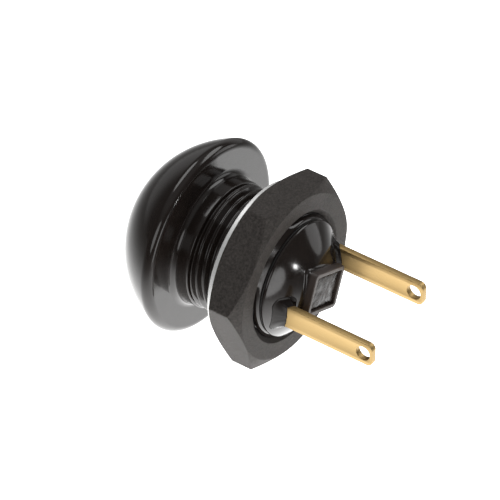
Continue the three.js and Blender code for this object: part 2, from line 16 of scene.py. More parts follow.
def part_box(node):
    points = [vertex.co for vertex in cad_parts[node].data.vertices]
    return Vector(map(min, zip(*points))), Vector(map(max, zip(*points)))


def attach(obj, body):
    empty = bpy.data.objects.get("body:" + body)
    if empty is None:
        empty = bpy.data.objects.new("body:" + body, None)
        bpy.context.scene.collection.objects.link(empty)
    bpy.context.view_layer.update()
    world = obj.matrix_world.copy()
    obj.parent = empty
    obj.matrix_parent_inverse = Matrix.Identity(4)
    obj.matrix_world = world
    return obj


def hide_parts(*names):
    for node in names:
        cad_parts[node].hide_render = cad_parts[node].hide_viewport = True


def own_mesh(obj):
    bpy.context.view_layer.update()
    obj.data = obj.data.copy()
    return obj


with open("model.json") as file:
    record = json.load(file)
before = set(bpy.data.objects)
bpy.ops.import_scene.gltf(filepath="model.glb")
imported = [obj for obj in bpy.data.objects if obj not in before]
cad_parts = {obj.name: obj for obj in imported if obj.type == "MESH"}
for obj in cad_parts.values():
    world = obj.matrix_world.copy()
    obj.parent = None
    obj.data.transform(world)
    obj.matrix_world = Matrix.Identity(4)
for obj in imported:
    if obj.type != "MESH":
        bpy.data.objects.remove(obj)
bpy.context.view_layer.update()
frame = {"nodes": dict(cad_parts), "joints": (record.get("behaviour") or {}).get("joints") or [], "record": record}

bl_info = {
    "name": "Panel push button",
    "version": (1, 0, 0),
    "blender": (4, 5, 0),
    "location": "View3D > Sidebar > Push Button",
    "description": "Builds the finished pieces of a panel-mount push button around its CAD frame",
    "category": "Mesh",
}

MM = 0.001
FULL_TURN = 2 * math.pi
PRESSED_GAP = 0.02 * MM
SEAM = 0.01 * MM
SLIDING_GAP = 0.1 * MM
STEM_GAP = 0.05 * MM
BOX = {node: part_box(node) for node in frame["nodes"]}


def low(node):
    return BOX[node][0]


def high(node):
    return BOX[node][1]


def ends(node):
    """Front and rear end of a CAD node along the axis."""
    return low(node).y, high(node).y


def high_limit(joint):
    return next(j for j in frame["joints"] if j["name"] == joint)["range_m"][1]


COUPLINGS = {row["joint"]: row["ratio"] for row in frame["record"]["behaviour"]["couplings"]}


# ---- Sizes and colours ----


def length(name, description, millimetres):
    return FloatProperty(
        name=name, description=description, default=millimetres * MM, unit="LENGTH", precision=5,
    )


def angle(name, description, degrees):
    return FloatProperty(name=name, description=description, default=math.radians(degrees), unit="ROTATION")


def number(name, description, default):
    return FloatProperty(name=name, description=description, default=default)


def colour(name, description, default):
    return FloatVectorProperty(
        name=name, description=description, default=(*default, 1.0), size=4, min=0, max=1, subtype="COLOR",
    )


class ThreadSizes(PropertyGroup):
    major: length("Major radius", "Radius over the crests", 7.94)
    root: length("Root radius", "Radius at the bottom of the grooves", 7.29)
    minor: length("Nut minor radius", "Radius of the crests in the nut", 7.47)
    nut_root: length("Nut root radius", "Radius at the bottom of the nut's grooves", 8.02)
    pitch: length("Pitch", "Advance in one turn, right-handed", 25.4 / 24)


class HeadSizes(PropertyGroup):
    height: length("Head height", "From the rear face to the top of the dome's sphere", 9.7)
    rim: length("Rim rounding", "Radius between the dome and the rear face", 0.95)
    neck: length("Neck radius", "Smooth neck behind the head", 8.1)
    flare: length("Neck flare", "Fillet between the neck and the head's rear face", 0.8)
    neck_length: length("Neck length", "From the head's rear face to the thread", 2.3)
    bore: length("Barrel bore", "Inner radius of the barrel", 6.5)
    bore_front: length("Bore bottom", "Where the barrel's bore ends behind the button", -3.2)
    button_bore: length("Button hole", "Radius of the hole that guides the button", 4.6)
    groove: length("Seal groove", "Radius of the seal's groove", 5.55)
    groove_half: length("Seal groove half width", "Half the width of the seal's groove", 0.7)
    lip: length("Lip", "Width and depth of the flare where the button's hole opens", 0.3)
    thread_start: length("Thread start", "From the neck's end to the first full crest", 0.35)
    thread_end: length("Thread end", "From the last full crest to the barrel's end", 0.45)


class ButtonSizes(PropertyGroup):
    radius: length("Button radius", "Radius of the face that is pressed", 4.3)
    edge: length("Edge height", "Where the crown meets the rounded edge", -9.05)
    edge_round: length("Edge rounding", "Rounding around the crown", 0.35)
    flange_rear: length("Flange rear", "Rear face of the stop flange", -1.9)
    flange_front: length("Flange front", "Front face of the stop flange", -3.1)
    spigot: length("Spigot radius", "Radius of the spigot that holds the stem", 1.85)
    stem: length("Stem radius", "Radius of the steel stem", 0.9)
    stem_groove: length("Clip groove", "Radius of the stem in the clip's groove", 0.6)


class CapSizes(PropertyGroup):
    edge: length("Cap edge", "Front of the cap's outer edge", 12.5)
    crown: length("Crown edge", "Where the cap's crown starts", 12.75)
    top: length("Crown top", "Where the crown's curve would meet the axis", 15.95)
    shoulder: length("Shoulder", "Width of the rounding between the cap's edge and its crown", 0.4)
    plug: length("Plug radius", "Plug inside the barrel", 6.4)
    pocket: length("Spring pocket", "Radius of the return spring's pocket", 2.3)
    pocket_end: length("Pocket end", "Bottom of the return spring's pocket", 12.95)
    boss_half_length: length("Block half length", "Half the long side of the block", 3.15)
    boss_half_width: length("Block half width", "Half the short side of the block", 2.75)
    boss_turn: angle("Block turn", "Turn of the block from +X towards +Z", 21.7)
    boss_corner: length("Block corner", "Rounding of the block's corners", 0.6)
    boss_wall: length("Block wall", "Thickness of the wall around the filling port", 0.55)
    boss_root: length("Block fillet", "Fillet between the cap and the block", 0.6)
    boss_reach: length("Fillet reach", "From the block's wall to the end of the plain crown", 1.0)
    port_floor: length("Port floor", "Bottom of the filling port", 15.6)


class NutSizes(PropertyGroup):
    corner: length("Corner radius", "From the axis to a corner of the hexagon", 12.33)
    turn: angle("Corner angle", "Turn of a corner from +X towards +Z", 8.1)
    mouth: length("Bore mouth", "Radius of the chamfered mouth", 8.5)
    face: length("Face radius", "Where the corner chamfer starts", 10.6)
    slope: angle("Chamfer slope", "Slope of the corner chamfer from the face", 30)
    corner_round: length("Corner rounding", "Rounding of the six corners", 0.3)
    washer_bore: length("Washer bore", "Inner radius of the washer", 8.3)


class LugSizes(PropertyGroup):
    thickness: length("Lug thickness", "Sheet that the lugs are stamped from", 0.8)
    blade: length("Blade width", "Width outside the cap", 3.1)
    shank: length("Shank width", "Width inside the cap", 2.2)
    shoulder: length("Shoulder", "Where the shank widens into the blade", 13.7)
    tip_round: length("Tip rounding", "Rounding of the two corners at the tip", 0.75)
    eye: length("Eye radius", "Radius of the eye for the wire", 0.94)
    eye_place: length("Eye place", "Distance of the eye's centre along the axis", 25.6)
    bend: length("Bend radius", "Radius of the foot's bend at mid thickness", 0.7)
    offset: length("Lug offset", "The right lug lies this far below the axis, the left one above", 1.0)
    bead_half_x: length("Bead half thickness", "Half the bead's reach across the lug's faces", 1.35)
    bead_half_z: length("Bead half width", "Half the bead's reach along the lug's width", 2.5)
    bead_corner: length("Bead corner", "Rounding of the bead's outline", 1.1)
    bead_height: length("Bead height", "How far the resin has crept up the lug", 0.85)


class ContactSizes(PropertyGroup):
    reach: length("Contact reach", "From the axis to each contact", 3.9)
    radius: length("Contact radius", "Radius of the silver heads", 1.1)
    thickness: length("Contact thickness", "Thickness of the silver heads", 0.55)
    shank: length("Rivet shank", "Radius of the rivets' shanks", 0.5)
    bridge_half_width: length("Bridge half width", "Half the width of the moving bar", 1.5)
    bridge_half_length: length("Bridge half length", "Half the length of the moving bar", 5.2)
    bridge_corner: length("Bridge corner", "Rounding of the bar's corners", 0.8)


class SpringSizes(PropertyGroup):
    contact_mean: length("Contact spring radius", "Mean radius of the contact spring", 2.2)
    contact_wire: length("Contact spring wire", "Radius of its wire", 0.2)
    contact_turns: number("Contact spring turns", "Turns of the contact spring", 6)
    return_mean: length("Return spring radius", "Mean radius of the return spring", 1.6)
    return_wire: length("Return spring wire", "Radius of its wire", 0.22)
    return_turns: number("Return spring turns", "Turns of the return spring", 7)
    contact_seat: length("Contact seat", "Thickness of the contact spring seat's disc", 0.6)
    return_seat: length("Return seat", "Thickness of the return spring seat's disc", 0.3)


class Colours(PropertyGroup):
    gloss_black: colour("Gloss black", "Moulded head, barrel and rear cap", (0.0145, 0.0108, 0.0092))
    button_black: colour("Button black", "Moulded button", (0.017, 0.016, 0.015))
    nylon_black: colour("Nylon black", "Moulded nut", (0.058, 0.052, 0.048))
    resin_black: colour("Resin black", "Sealing resin", (0.014, 0.011, 0.0095))
    rubber: colour("Rubber", "Seal and gasket", (0.022, 0.022, 0.022))
    insulator: colour("Insulator", "Brown laminate of the spring seat", (0.26, 0.12, 0.05))
    gold: colour("Gold plate", "Solder lugs", (0.475, 0.33, 0.142))
    zinc: colour("Zinc", "Panel washer", (0.86, 0.86, 0.85))
    steel: colour("Steel", "Springs, stem and clip", (0.62, 0.62, 0.61))
    brass: colour("Brass", "Bridge and rear spring seat", (0.66, 0.50, 0.25))
    silver: colour("Silver", "Contact faces", (0.80, 0.79, 0.76))


class StageSettings(PropertyGroup):
    floor_height: length("Floor height", "Height of the floor below the object", -220)
    floor_size: length("Floor size", "Half the side of the floor", 3000)
    floor: colour("Floor", "Pale floor", (0.86, 0.86, 0.85))
    dark: number("Dark side", "Brightness of the studio behind the camera", 0.07)
    bright: number("Bright side", "Brightness of the studio wall in front of the camera", 0.45)
    ceiling: number("Ceiling", "Brightness of the studio above the object", 0.28)
    # Painted light: the floor's glow is its own emission, a pool of light that fades with distance from below the
    # object, not light from the lamps.
    pool: number("Floor glow", "Brightness of the lit floor below the object", 2.7)
    painted_pool_radius: length("Glow radius", "Radius at which the floor's glow has halved", 330)


GROUPS = {
    "button_thread": ThreadSizes,
    "button_head": HeadSizes,
    "button_plunger": ButtonSizes,
    "button_cap": CapSizes,
    "button_nut": NutSizes,
    "button_lug": LugSizes,
    "button_contact": ContactSizes,
    "button_spring": SpringSizes,
    "button_colour": Colours,
    "button_stage": StageSettings,
}


# ---- Node writing ----


def by(operation, reflected=False):
    """A method that writes one Math node, with the channel as its first or, reflected, its last operand."""
    def written(self, *others):
        return self.maths(operation, *((*others, self) if reflected else (self, *others)))
    return written


class Channel:
    """A node socket that arithmetic can be written on."""

    def __init__(self, book, socket):
        self.book = book
        self.socket = socket

    def maths(self, operation, *operands):
        node = self.book.node("ShaderNodeMath", {"operation": operation})
        for place, operand in enumerate(operands):
            self.book.feed(node.inputs[place], operand)
        return Channel(self.book, node.outputs["Value"])

    __add__, __radd__ = by("ADD"), by("ADD", True)
    __sub__, __rsub__ = by("SUBTRACT"), by("SUBTRACT", True)
    __mul__, __rmul__ = by("MULTIPLY"), by("MULTIPLY", True)
    __truediv__, __rtruediv__ = by("DIVIDE"), by("DIVIDE", True)
    __pow__, __abs__ = by("POWER"), by("ABSOLUTE")
    at_most, at_least = by("MINIMUM"), by("MAXIMUM")
    sine, cosine, angle_from, fraction = by("SINE"), by("COSINE"), by("ARCTAN2"), by("FRACT")

    def clamped(self):
        return self.at_least(0.0).at_most(1.0)


class NodeBook:
    """Writes nodes into one node tree."""

    def __init__(self, tree):
        self.tree = tree

    def feed(self, socket, value):
        value = value.socket if isinstance(value, Channel) else value
        if isinstance(value, bpy.types.NodeSocket):
            self.tree.links.new(value, socket)
        else:
            socket.default_value = value

    def node(self, kind, settings=None, inputs=None):
        node = self.tree.nodes.new(kind)
        for key, value in (settings or {}).items():
            setattr(node, key, value)
        for key, value in (inputs or {}).items():
            self.feed(node.inputs[key], value)
        return node

    def channel(self, kind, output, settings=None, inputs=None):
        outputs = self.node(kind, settings, inputs).outputs
        return Channel(self, next(o for o in outputs if o.enabled and o.name == output))

    def split(self, vector):
        node = self.node("ShaderNodeSeparateXYZ", None, {"Vector": vector})
        return [Channel(self, socket) for socket in node.outputs]

    def remap(self, value, from_low, from_high, to_low, to_high, smooth=False):
        return self.channel(
            "ShaderNodeMapRange",
            "Result",
            {"interpolation_type": "SMOOTHSTEP" if smooth else "LINEAR"},
            {
                "Value": value, "From Min": from_low, "From Max": from_high,
                "To Min": to_low, "To Max": to_high,
            },
        )


class Finish(NodeBook):
    """A procedural material around one colour. Patterns are scaled in millimetres."""

    def __init__(self, base, stretch=(1, 1, 1)):
        self.base = base
        self.material = bpy.data.materials.new("finish")
        self.material.use_nodes = True
        super().__init__(self.material.node_tree)
        self.tree.nodes.clear()
        self.shader = self.node("ShaderNodeBsdfPrincipled")
        self.node("ShaderNodeOutputMaterial", None, {"Surface": self.shader.outputs["BSDF"]})
        place = self.node("ShaderNodeTexCoord").outputs["Object"]
        scale = [1 / MM * share for share in stretch]
        self.place = self.node("ShaderNodeMapping", None, {"Vector": place, "Scale": scale}).outputs["Vector"]

    def set(self, **inputs):
        for key, value in inputs.items():
            self.feed(self.shader.inputs[key.replace("_", " ").title().replace("Ior", "IOR")], value)

    def noise(self, scale, detail=3.0, roughness=0.5, distortion=0.0):
        return self.channel("ShaderNodeTexNoise", "Fac", None, {
            "Vector": self.place, "Scale": scale, "Detail": detail,
            "Roughness": roughness, "Distortion": distortion,
        })

    def cells(self, scale, feature="F1"):
        return self.channel("ShaderNodeTexVoronoi", "Distance", {"feature": feature}, {
            "Vector": self.place, "Scale": scale,
        })

    def blend(self, factor, first, second):
        node = self.node("ShaderNodeMix", {"data_type": "RGBA"})
        for place, value in ((0, factor), (6, first), (7, second)):
            self.feed(node.inputs[place], value)
        return node.outputs[2]

    def shade(self, factor):
        return (*(min(1.0, channel * factor) for channel in self.base[:3]), 1.0)

    def mottle(self, factor, dark, light):
        """Lets the base colour run between two shades of the finish's colour."""
        self.set(base_color=self.blend(factor, self.shade(dark), self.shade(light)))

    def bump(self, height, distance, strength):
        """Bumps up to a distance in millimetres."""
        node = self.node("ShaderNodeBump", None, {
            "Height": height, "Distance": distance * MM, "Strength": strength,
        })
        self.feed(self.shader.inputs["Normal"], node.outputs["Normal"])


def colours():
    return bpy.context.scene.button_colour


# ---- Finishes ----


def gloss_black_plastic():
    """Polished moulded plastic: flow marks, fine handling marks, and a satin block at the rear."""
    finish = Finish(colours().gloss_black)
    flow = finish.noise(0.35, 2.0, 0.5, 0.8)
    marks = finish.remap(finish.noise(2.2, 6.0, 0.65), 0.52, 0.75, 0.0, 1.0)
    _, y, _ = finish.split(finish.place)
    satin = finish.remap(y, 15.5, 15.9, 0.0, 1.0)
    finish.mottle(flow * 0.2 + satin * 0.8, 0.8, 4.0)
    finish.set(
        roughness=0.09 + flow * 0.05 + marks * 0.10 + satin * 0.35,
        ior=1.5,
    )
    finish.bump(flow * 0.8 + finish.noise(9.0, 3.0) * 0.02, 0.02, 0.6)
    return finish.material


def button_black_plastic():
    """The pressed face: finer satin grain, slightly polished in the middle by use."""
    finish = Finish(colours().button_black)
    x, _, z = finish.split(finish.place)
    polish = finish.remap((x * x + z * z) ** 0.5, 1.0, 4.0, 1.0, 0.0, True)
    grain = finish.noise(14.0, 4.0, 0.6)
    finish.mottle(grain, 0.8, 1.3)
    finish.set(roughness=0.34 - polish * 0.14 + grain * 0.08)
    finish.bump(grain, 0.006, 0.6)
    return finish.material


def satin_black_nylon():
    """Filled nylon: fine pits and grains that break up the light."""
    finish = Finish(colours().nylon_black)
    grain = finish.remap(finish.noise(3.2, 5.0, 0.7), 0.34, 0.66, 0.0, 1.0)
    pits = finish.cells(6.5)
    cloud = finish.noise(0.5, 3.0)
    finish.mottle(grain * 0.7 + cloud * 0.3, 0.45, 1.6)
    finish.set(
        roughness=0.5 + grain * 0.2 - pits * 0.08,
        specular_ior_level=0.12,
    )
    finish.bump(grain * 0.6 + pits * 0.4, 0.05, 0.9)
    return finish.material


def black_resin():
    """Poured resin: wet-looking beads, and a lumpy skin with duller patches in the filling port."""
    finish = Finish(colours().resin_black)
    lumps = finish.noise(1.6, 3.0, 0.55, 0.5)
    _, y, _ = finish.split(finish.place)
    poured = finish.remap(y, 15.2, 15.6, 0.0, 1.0)
    dull = finish.remap(finish.noise(1.3, 4.0, 0.6), 0.42, 0.6, 0.0, 1.0) * poured
    finish.mottle(dull, 0.9, 2.2)
    finish.set(
        roughness=0.12 + dull * 0.3,
        specular_ior_level=0.2,
    )
    finish.bump(lumps * (poured * 0.8 + 0.2) + dull * 0.12, 0.06, 0.7)
    return finish.material


def seal_rubber():
    finish = Finish(colours().rubber)
    grain = finish.noise(12.0, 4.0, 0.6)
    finish.mottle(grain, 0.7, 1.5)
    finish.set(roughness=0.6 + grain * 0.2)
    finish.bump(grain, 0.008, 0.7)
    return finish.material


def brown_insulator():
    """Phenolic laminate: crossed threads under the varnish."""
    finish = Finish(colours().insulator)
    x, _, z = finish.split(finish.place)
    weave = (x * 18.0).sine() * (z * 18.0).sine() * 0.5 + 0.5
    fibre = finish.noise(6.0, 4.0, 0.6)
    pattern = weave * 0.5 + fibre * 0.5
    finish.mottle(pattern, 0.7, 1.3)
    finish.set(roughness=0.45 + fibre * 0.2)
    finish.bump(pattern, 0.006, 0.6)
    return finish.material


def rolled_metal(base, streak, roughness, tarnish):
    """Rolled or drawn metal: fine streaks along one direction and a soft, uneven tarnish."""
    finish = Finish(base, streak)
    streaks = finish.noise(1.0, 4.0, 0.6)
    spread = finish.node("ShaderNodeMapping", None, {
        "Vector": finish.place, "Scale": [1 / share for share in streak],
    }).outputs["Vector"]
    stain = finish.channel("ShaderNodeTexNoise", "Fac", None, {"Vector": spread, "Scale": 0.8, "Detail": 4.0})
    finish.mottle((streaks * 0.35 + stain * 0.65).clamped(), 1 - tarnish, 1 + tarnish * 0.5)
    finish.set(metallic=1.0, roughness=roughness - 0.06 + streaks * 0.08 + stain * 0.08)
    finish.bump(streaks, 0.003, 0.5)
    return finish.material


def gold_plated_brass():
    return rolled_metal(colours().gold, (14, 0.5, 14), 0.43, 0.08)


def spring_steel():
    return rolled_metal(colours().steel, (5, 5, 5), 0.26, 0.12)


def contact_brass():
    return rolled_metal(colours().brass, (1, 8, 12), 0.3, 0.2)


def silver_contact():
    return rolled_metal(colours().silver, (9, 9, 9), 0.25, 0.1)


def bright_washer():
    """Zinc plate over a turned face: fine rings and a few darker passivation clouds."""
    finish = Finish(colours().zinc)
    x, _, z = finish.split(finish.place)
    rings = ((x * x + z * z) ** 0.5 * 55.0).sine() * 0.5 + 0.5
    cloud = finish.noise(0.7, 4.0, 0.6)
    finish.mottle(cloud, 0.9, 1.1)
    finish.set(metallic=0.5, roughness=0.42 + cloud * 0.12)
    finish.bump(rings * 0.5 + cloud * 0.2, 0.002, 0.6)
    return finish.material


def finish_named(maker, made={}):
    """Each finish is made once and shared by its pieces."""
    if maker not in made:
        made[maker] = maker()
        made[maker].name = f"finish_{maker.__name__}"
    return made[maker]


# ---- Outlines ----


def arc(centre, radius, from_angle, to_angle, steps):
    """Points of an arc about centre, angles in radians from the radial direction towards +Y."""
    places = [from_angle + (to_angle - from_angle) * step / steps for step in range(steps + 1)]
    return [(centre[0] + radius * math.cos(a), centre[1] + radius * math.sin(a)) for a in places]


SUPPORT = 0.05 * MM  # points this far from each end of a straight stretch keep its shading flat
ARC_STEP = 0.12 * MM


def rounded(corners, closed=False):
    """The outline through (radius, y, rounding in millimetres) corners, with long edges supported."""
    points = []
    for place, (radius, y, rounding) in enumerate(corners):
        here = Vector((radius, y))
        last = not closed and place in (0, len(corners) - 1)
        if not rounding or last:
            points.append(here)
            continue
        rounding = rounding * MM
        before = (Vector(corners[place - 1][:2]) - here).normalized()
        after = (Vector(corners[(place + 1) % len(corners)][:2]) - here).normalized()
        half = before.angle(after) / 2
        centre = here + (before + after).normalized() * rounding / math.sin(half)
        start = here + before * rounding / math.tan(half) - centre
        end = here + after * rounding / math.tan(half) - centre
        sweep = math.atan2(start.x * end.y - start.y * end.x, start.dot(end))
        steps = min(28, max(3, round(rounding / ARC_STEP)))
        for step in range(steps + 1):
            turn = sweep * step / steps
            points.append(centre + Matrix.Rotation(turn, 2) @ start)
    supported = []
    for place, point in enumerate(points):
        supported.append(tuple(point))
        if place == len(points) - 1 and not closed:
            break
        edge = points[(place + 1) % len(points)] - point
        if edge.length > 5 * SUPPORT:
            inset = edge.normalized() * SUPPORT
            supported += [tuple(point + inset), tuple(point + edge - inset)]
    return supported


def box_radius(angle_there, half_x, half_y, corner):
    """Distance from the centre of a rounded rectangle to its edge, in one direction."""
    across, up = abs(math.cos(angle_there)), abs(math.sin(angle_there))
    reach = min(half_x / max(across, 1e-9), half_y / max(up, 1e-9))
    inner_x, inner_y = half_x - corner, half_y - corner
    if across * reach <= inner_x or up * reach <= inner_y:
        return reach
    along = across * inner_x + up * inner_y
    return along + math.sqrt(along ** 2 - inner_x ** 2 - inner_y ** 2 + corner ** 2)


def hexagon_radius(angle_there, corner_radius, rounding):
    """Distance from a rounded hexagon's centre to its edge. A corner lies at angle 0."""
    offset = (angle_there + math.pi / 6) % (math.pi / 3) - math.pi / 6
    flat = corner_radius * math.cos(math.pi / 6)
    reach = flat / math.cos(math.pi / 6 - abs(offset))
    centre = corner_radius - rounding / math.cos(math.pi / 6)
    tangent = math.atan2(rounding * math.sin(math.pi / 6), centre + rounding * math.cos(math.pi / 6))
    if abs(offset) >= tangent:
        return reach
    return centre * math.cos(offset) + math.sqrt(rounding ** 2 - (centre * math.sin(offset)) ** 2)


def even_angles(count):
    return [FULL_TURN * step / count for step in range(count)]


# ---- Meshes ----


def spin(outline_at, angles):
    """A closed skin: the outline for each angle, turned about the Y axis from +X towards +Z.

    An outline's third number is how deep a thread is cut there, from 0 to 1.
    """
    bm = bmesh.new()
    thread = bm.verts.layers.float.new("thread")
    rows = []
    for turn in angles:
        row = []
        for radius, y, *cut in outline_at(turn):
            vertex = bm.verts.new((radius * math.cos(turn), y, radius * math.sin(turn)))
            vertex[thread] = cut[0] if cut else 0.0
            row.append(vertex)
        rows.append(row)
    wraps = rows[0][0].co.xz.length > 0
    count = len(rows[0])
    for row, following in zip(rows, rows[1:] + rows[:1]):
        for place in range(count if wraps else count - 1):
            beyond = (place + 1) % count
            bm.faces.new((row[place], row[beyond], following[beyond], following[place]))
    bmesh.ops.remove_doubles(bm, verts=bm.verts, dist=1e-9)
    bmesh.ops.recalc_face_normals(bm, faces=bm.faces)
    return bm


def turned(corners, count=96):
    """The same rounded outline all the way round."""
    outline = rounded(corners, closed=corners[0][0] > 0)
    return spin(lambda _: outline, even_angles(count))


def rounded_loop(half_u, half_v, corner):
    """Rounded rectangle as a loop of points, anticlockwise."""
    loop = []
    for quarter in range(4):
        side_u = half_u - corner if quarter in (0, 3) else corner - half_u
        side_v = half_v - corner if quarter in (0, 1) else corner - half_v
        start = math.pi / 2 * quarter
        loop += arc((side_u, side_v), corner, start, start + math.pi / 2, 8)
    return loop


def circle_loop(centre, radius, steps=40):
    return arc(centre, radius, 0, FULL_TURN, steps)[:-1]


def inset_loop(loop, distance):
    """The loop moved towards its left side by a distance."""
    loop = [Vector(point) for point in loop]
    moved = []
    for place, point in enumerate(loop):
        before = (point - loop[place - 1]).normalized()
        after = (loop[(place + 1) % len(loop)] - point).normalized()
        along = (before + after).normalized()
        lean = max(0.5, math.sqrt((1 + before.dot(after)) / 2))
        moved.append(point + Vector((-along.y, along.x)) * distance / lean)
    return moved


def plate(outer, holes, thickness, edge, place, cuts=()):
    """A stamped plate with rounded edges: loops in (u, v), mapped into space by place(u, v, n).

    outer runs anticlockwise and so do the holes. cuts are values of u where the blank is divided, for bends.
    """
    bm = bmesh.new()
    levels = []
    steps = 3
    for step in range(steps + 1):
        turn = math.pi / 2 * step / steps
        levels.append((edge * (1 - math.sin(turn)), edge * (1 - math.cos(turn)) - thickness / 2))
    levels += [(inset, -height) for inset, height in reversed(levels)]
    for sign, loop in ((1, outer), *((-1, hole) for hole in holes)):
        rings = []
        for inset, height in levels:
            ring = inset_loop(loop, inset * sign)
            rings.append([bm.verts.new((u, v, height)) for u, v in ring])
        for ring, above in zip(rings, rings[1:]):
            for k in range(len(ring)):
                m = (k + 1) % len(ring)
                corners = (ring[k], ring[m], above[m], above[k])
                bm.faces.new(corners if sign == 1 else reversed(corners))
        if sign == 1:
            loops = [[rings[0]], [rings[-1]]]
        else:
            loops[0].append(rings[0])
            loops[1].append(rings[-1])
    for group, up in ((loops[0], False), (loops[1], True)):
        vertices = [vertex for ring in group for vertex in ring]
        for triangle in geometry.tessellate_polygon([[v.co for v in ring] for ring in group]):
            bm.faces.new([vertices[i] for i in (triangle if up else reversed(triangle))])
    for u in cuts:
        bmesh.ops.bisect_plane(
            bm, geom=bm.verts[:] + bm.edges[:] + bm.faces[:], plane_co=(u, 0, 0), plane_no=(1, 0, 0),
        )
    for vertex in bm.verts:
        vertex.co = place(*vertex.co)
    bmesh.ops.recalc_face_normals(bm, faces=bm.faces)
    return bm


def mesh_of(bm, name, sharp=None):
    """The bmesh as a smooth mesh, with edges over the sharp angle (degrees) kept hard."""
    mesh = bpy.data.meshes.new(name)
    bm.to_mesh(mesh)
    bm.free()
    mesh.polygons.foreach_set("use_smooth", [True] * len(mesh.polygons))
    if sharp is not None:
        mesh.set_sharp_from_angle(angle=math.radians(sharp))
    return mesh


def object_of(mesh, name):
    piece = bpy.data.objects.new(name, mesh)
    bpy.context.scene.collection.objects.link(piece)
    return piece


def settled(piece, sharp=None):
    """The piece with its modifiers turned into its mesh."""
    evaluated = piece.evaluated_get(bpy.context.evaluated_depsgraph_get())
    mesh = bpy.data.meshes.new_from_object(evaluated)
    mesh.name = piece.name
    piece.modifiers.clear()
    piece.data = mesh
    if sharp is not None:
        mesh.set_sharp_from_angle(angle=math.radians(sharp))
    return piece


def fit(piece, maker, body, *nodes):
    """Finish, body and CAD nodes of a piece."""
    material = finish_named(maker)
    piece.data.materials.clear()
    piece.data.materials.append(material)
    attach(piece, body)
    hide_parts(*nodes)
    return piece


def build(name, bm, maker, body, *nodes, sharp=None):
    return fit(object_of(mesh_of(bm, name, sharp), name), maker, body, *nodes)


# ---- Geometry Nodes ----


class GeometryBook(NodeBook):
    """A Geometry Nodes tree with named inputs. It ends in Realize Instances and Set Material."""

    def __init__(self, name, inputs):
        super().__init__(bpy.data.node_groups.new(name, "GeometryNodeTree"))
        face = self.tree.interface
        face.new_socket(name="Geometry", in_out="OUTPUT", socket_type="NodeSocketGeometry")
        face.new_socket(name="Geometry", in_out="INPUT", socket_type="NodeSocketGeometry")
        self.inputs = {
            label: face.new_socket(name=label, in_out="INPUT", socket_type="NodeSocketFloat").identifier
            for label in inputs
        }
        socket = face.new_socket(name="Material", in_out="INPUT", socket_type="NodeSocketMaterial")
        self.inputs["Material"] = socket.identifier
        self.entry = self.node("NodeGroupInput")

    def value(self, label):
        return Channel(self, self.entry.outputs[label])

    def close(self, shape):
        real = self.node("GeometryNodeRealizeInstances", None, {"Geometry": shape})
        done = self.node("GeometryNodeSetMaterial", None, {
            "Geometry": real.outputs[0], "Material": self.entry.outputs["Material"],
        })
        self.node("NodeGroupOutput", None, {"Geometry": done.outputs[0]})
        return self

    def run(self, piece, **values):
        """Runs the tree on the piece and keeps the result as its mesh."""
        modifier = piece.modifiers.new(self.tree.name, "NODES")
        modifier.node_group = self.tree
        for label, value in values.items():
            modifier[self.inputs[label]] = value
        return settled(piece)


def thread_tree():
    """Cuts a right-handed 60 degree thread where the mesh's "thread" attribute says so."""
    book = GeometryBook("screw_thread", ("Pitch", "Depth", "Root", "Crest"))
    position = book.node("GeometryNodeInputPosition").outputs[0]
    x, y, z = book.split(position)
    share = book.channel(
        "GeometryNodeInputNamedAttribute", "Attribute", {"data_type": "FLOAT"}, {"Name": "thread"},
    )
    phase = (y / book.value("Pitch") - x.angle_from(z) / FULL_TURN).fraction()
    ramp = abs(phase * 2.0 - 1.0)
    groove = book.remap(ramp, book.value("Root"), book.value("Crest"), 1.0, 0.0)
    radius = (x * x + z * z) ** 0.5
    scale = 1.0 - groove * share * book.value("Depth") / radius.at_least(0.1 * MM)
    place = book.node("ShaderNodeCombineXYZ", None, {"X": x * scale, "Y": y, "Z": z * scale})
    moved = book.node("GeometryNodeSetPosition", None, {
        "Geometry": book.entry.outputs["Geometry"], "Position": place.outputs[0],
    })
    return book.close(moved.outputs[0])


def coil_tree():
    """Winds a compression spring with one closed turn at each end."""
    book = GeometryBook("coil_spring", ("Mean", "Wire", "Turns", "Front", "Rear"))
    wire, turns, front, rear = (book.value(label) for label in ("Wire", "Turns", "Front", "Rear"))
    line = book.node("GeometryNodeCurvePrimitiveLine").outputs[0]
    points = book.node("GeometryNodeResampleCurve", None, {"Curve": line, "Count": turns * 36.0}).outputs[0]
    turn = book.channel("GeometryNodeSplineParameter", "Factor") * turns
    closed_rise = wire * 2.04
    middle = rear - front - closed_rise * 2.0 - wire * 2.0
    rise = closed_rise * (turn.at_most(1.0) + (turn - turns + 1.0).at_least(0.0))
    rise = rise + middle * ((turn - 1.0) / (turns - 2.0)).clamped()
    swing = turn * FULL_TURN
    place = book.node("ShaderNodeCombineXYZ", None, {
        "X": swing.cosine() * book.value("Mean"),
        "Y": front + wire + rise,
        "Z": swing.sine() * book.value("Mean"),
    })
    path = book.node("GeometryNodeSetPosition", None, {"Geometry": points, "Position": place.outputs[0]})
    section = book.node("GeometryNodeCurvePrimitiveCircle", None, {"Resolution": 14, "Radius": wire})
    tube = book.node("GeometryNodeCurveToMesh", None, {
        "Curve": path.outputs[0], "Profile Curve": section.outputs[0], "Fill Caps": True,
    })
    return book.close(tube.outputs[0])


# ---- Pieces ----


FADE = 0.35  # share of a pitch over which a thread starts and ends
# Where a groove's flank starts and ends, as shares of half a pitch from the middle of the crest
BARREL_FLANK = {"Root": 0.17, "Crest": 0.86}
NUT_FLANK = {"Root": 0.83, "Crest": 0.14}


def thread_rows(radius, front, rear, pitch):
    """Rows of a threaded stretch, with the cut fading in at its front end."""
    count = math.ceil((rear - front) / pitch * 20)
    rows = []
    for step in range(count + 1):
        y = front + (rear - front) * step / count
        rows.append((radius, y, min(1.0, (y - front) / (FADE * pitch))))
    return rows


